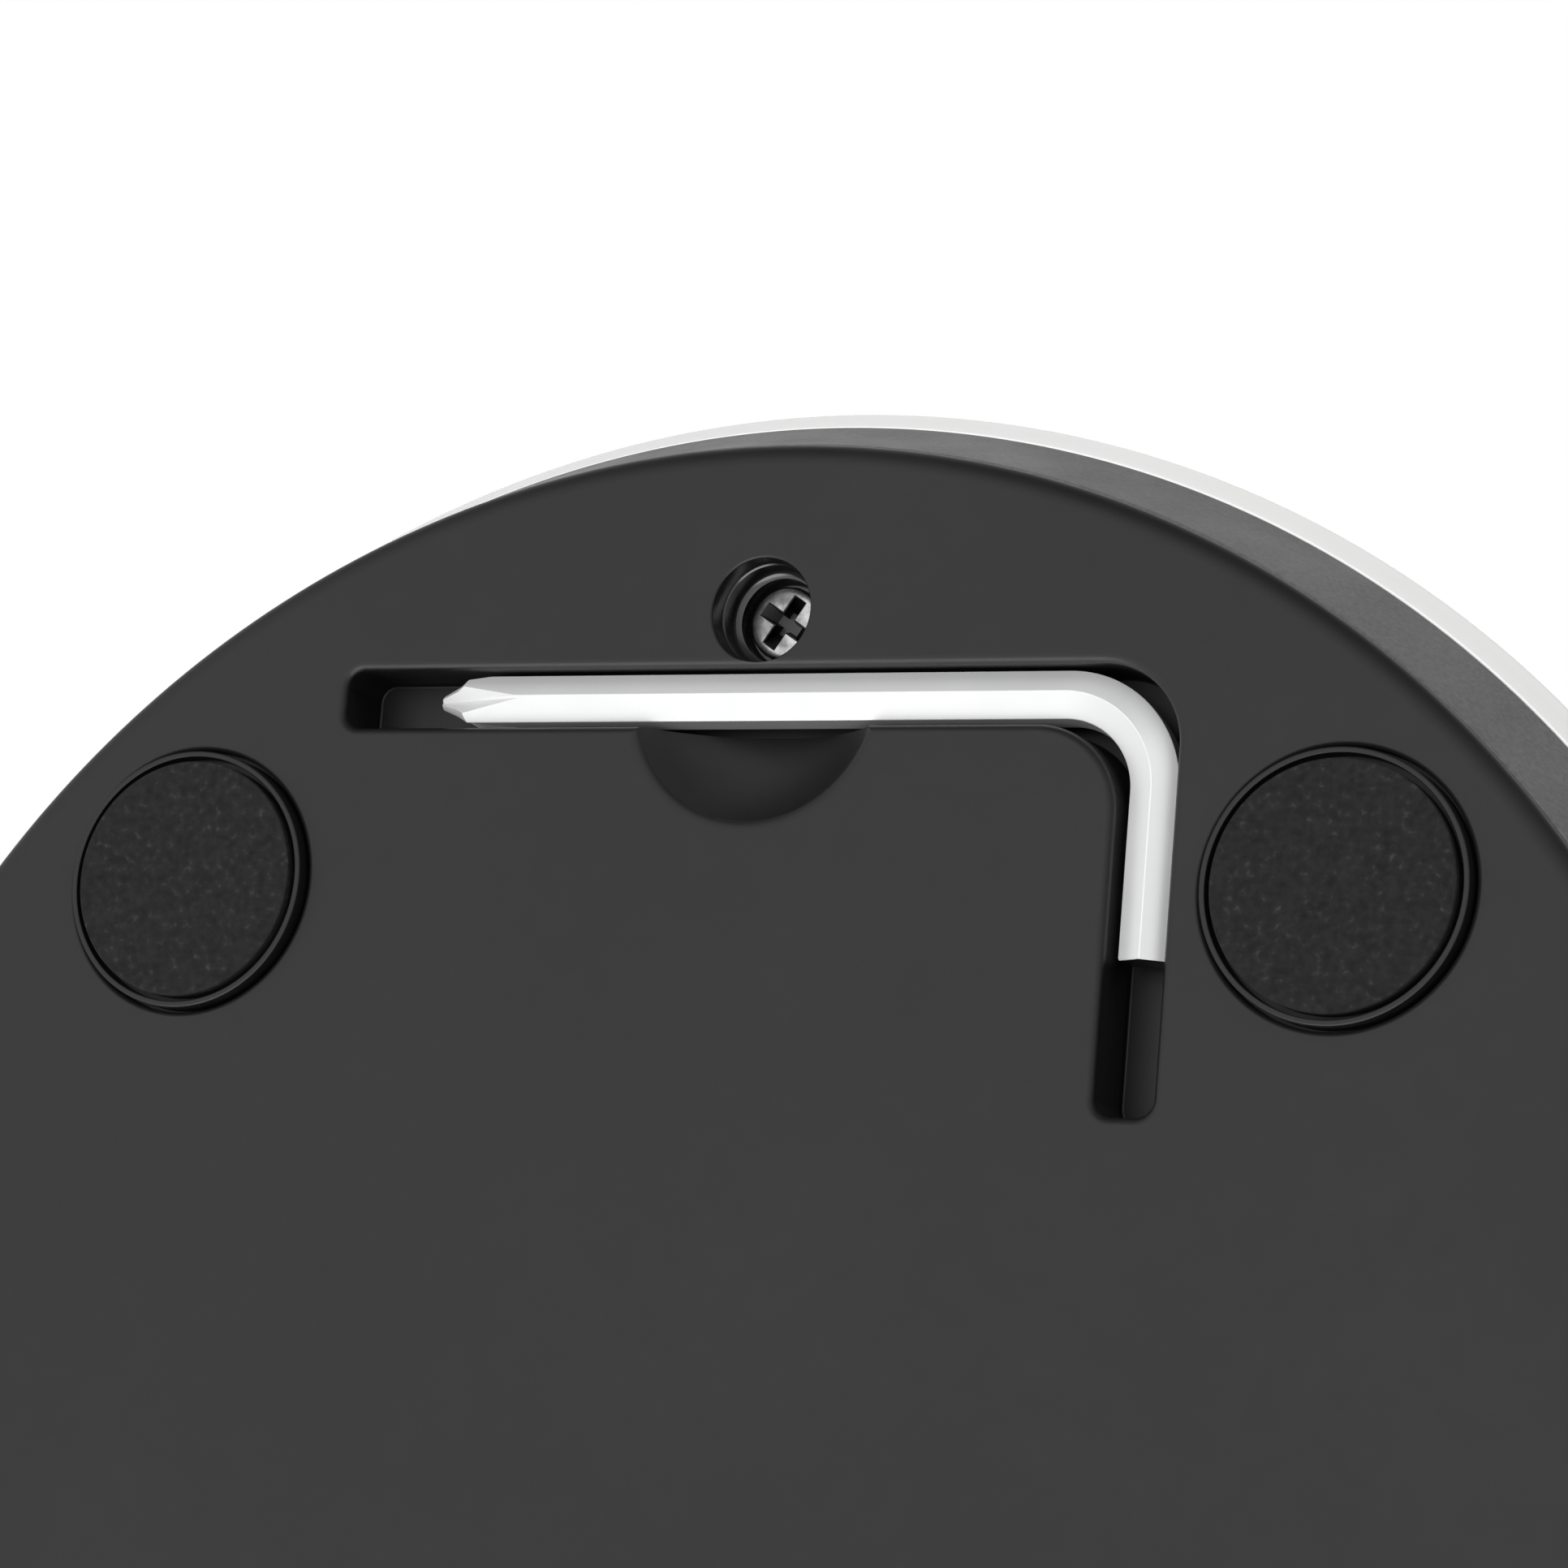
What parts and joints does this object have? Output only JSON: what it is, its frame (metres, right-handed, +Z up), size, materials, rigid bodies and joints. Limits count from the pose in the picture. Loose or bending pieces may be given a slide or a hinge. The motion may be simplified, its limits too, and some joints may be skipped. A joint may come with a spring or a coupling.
{
  "type": "digital bathroom scale",
  "caption": "Round glass-topped digital bathroom scale on sprung load-cell feet, with a battery lid, unit button and an L-shaped hex key stored in a recess in its underside.",
  "frame": {"origin": "centre of the scale on the surface its four foot pads stand on", "axes": "+Z up through the platform, +Y towards the display edge, +X to the right seen from above"},
  "size_m": [0.3, 0.3, 0.025],
  "materials": {
    "base_plastic": "fine-textured charcoal ABS",
    "skirt_plastic": "grey satin plastic",
    "white_plastic": "satin white ABS",
    "platform_glass": "tempered glass, white back print",
    "foam": "closed-cell foam tape",
    "black_plastic": "satin black plastic",
    "foot_rubber": "speckled dark rubber",
    "cell_steel": "blanked spring steel",
    "chrome": "bright plated steel",
    "nylon": "natural nylon",
    "display_glass": "liquid crystal cell",
    "light_guide": "clear acrylic light guide",
    "elastomer": "layered conductive rubber",
    "board": "green solder mask",
    "epoxy": "black epoxy",
    "cell_jacket": "plain blue-grey battery jacket",
    "red_wire": "PVC insulation",
    "grey_wire": "PVC insulation"
  },
  "bodies": {
    "scale_body": {"base_shell": "base_plastic", "side_skirt": "skirt_plastic", "platform_frame": "white_plastic", "platform_glass": "platform_glass", "glass_tape": "foam", "display_gasket": "foam", "display_bezel": "black_plastic", "lcd_panel": "display_glass", "lcd_backlight": "light_guide", "zebra_strip": "elastomer", "main_board": "board", "chip_blob": "epoxy", "board_screw_left": "cell_steel", "board_screw_right": "cell_steel", "unit_switch": "epoxy", "battery_rear": "cell_jacket", "battery_front": "cell_jacket", "contact_bridge": "cell_steel", "contact_negative": "cell_steel", "contact_positive": "cell_steel", "battery_lead_positive": "red_wire", "battery_lead_negative": "epoxy", "load_cell_front_right": "cell_steel", "cell_bridge_front_right": "nylon", "load_cell_front_left": "cell_steel", "cell_bridge_front_left": "nylon", "load_cell_rear_left": "cell_steel", "cell_bridge_rear_left": "nylon", "load_cell_rear_right": "cell_steel", "cell_bridge_rear_right": "nylon", "case_screw_1": "chrome", "case_screw_2": "chrome", "case_screw_3": "chrome", "cell_loom_front_left": "grey_wire", "cell_loom_front_right": "grey_wire", "cell_loom_rear_left": "grey_wire", "cell_loom_rear_right": "grey_wire"},
    "battery_lid": {"battery_door": "base_plastic"},
    "unit_key": {"unit_button": "black_plastic"},
    "stored_hex_key": {"hex_key": "chrome"},
    "foot_front_right": {"foot_cup_front_right": "base_plastic", "foot_pad_front_right": "foot_rubber"},
    "foot_front_left": {"foot_cup_front_left": "base_plastic", "foot_pad_front_left": "foot_rubber"},
    "foot_rear_left": {"foot_cup_rear_left": "base_plastic", "foot_pad_rear_left": "foot_rubber"},
    "foot_rear_right": {"foot_cup_rear_right": "base_plastic", "foot_pad_rear_right": "foot_rubber"}
  },
  "joints": [
    {"name": "battery_lid_hinge", "type": "hinge", "parent": "scale_body", "child": "battery_lid", "pos_m": [0, 0.047, 0.003], "axis": [-1, 0, 0], "range_deg": [0, 100]},
    {"name": "unit_button_press", "type": "slide", "parent": "scale_body", "child": "unit_key", "axis": [0, 0, 1], "range_m": [0, 0.0006], "stiffness_N_per_m": 2000, "springref_m": -0.0004},
    {"name": "hex_key_lift", "type": "slide", "parent": "scale_body", "child": "stored_hex_key", "axis": [0, 0, -1], "range_m": [0, 0.03]},
    {"name": "foot_front_right_press", "type": "slide", "parent": "scale_body", "child": "foot_front_right", "axis": [0, 0, 1], "range_m": [0, 0.0008], "stiffness_N_per_m": 20000, "springref_m": -0.0004},
    {"name": "foot_front_left_press", "type": "slide", "parent": "scale_body", "child": "foot_front_left", "axis": [0, 0, 1], "range_m": [0, 0.0008], "stiffness_N_per_m": 20000, "springref_m": -0.0004},
    {"name": "foot_rear_left_press", "type": "slide", "parent": "scale_body", "child": "foot_rear_left", "axis": [0, 0, 1], "range_m": [0, 0.0008], "stiffness_N_per_m": 20000, "springref_m": -0.0004},
    {"name": "foot_rear_right_press", "type": "slide", "parent": "scale_body", "child": "foot_rear_right", "axis": [0, 0, 1], "range_m": [0, 0.0008], "stiffness_N_per_m": 20000, "springref_m": -0.0004}
  ]
}
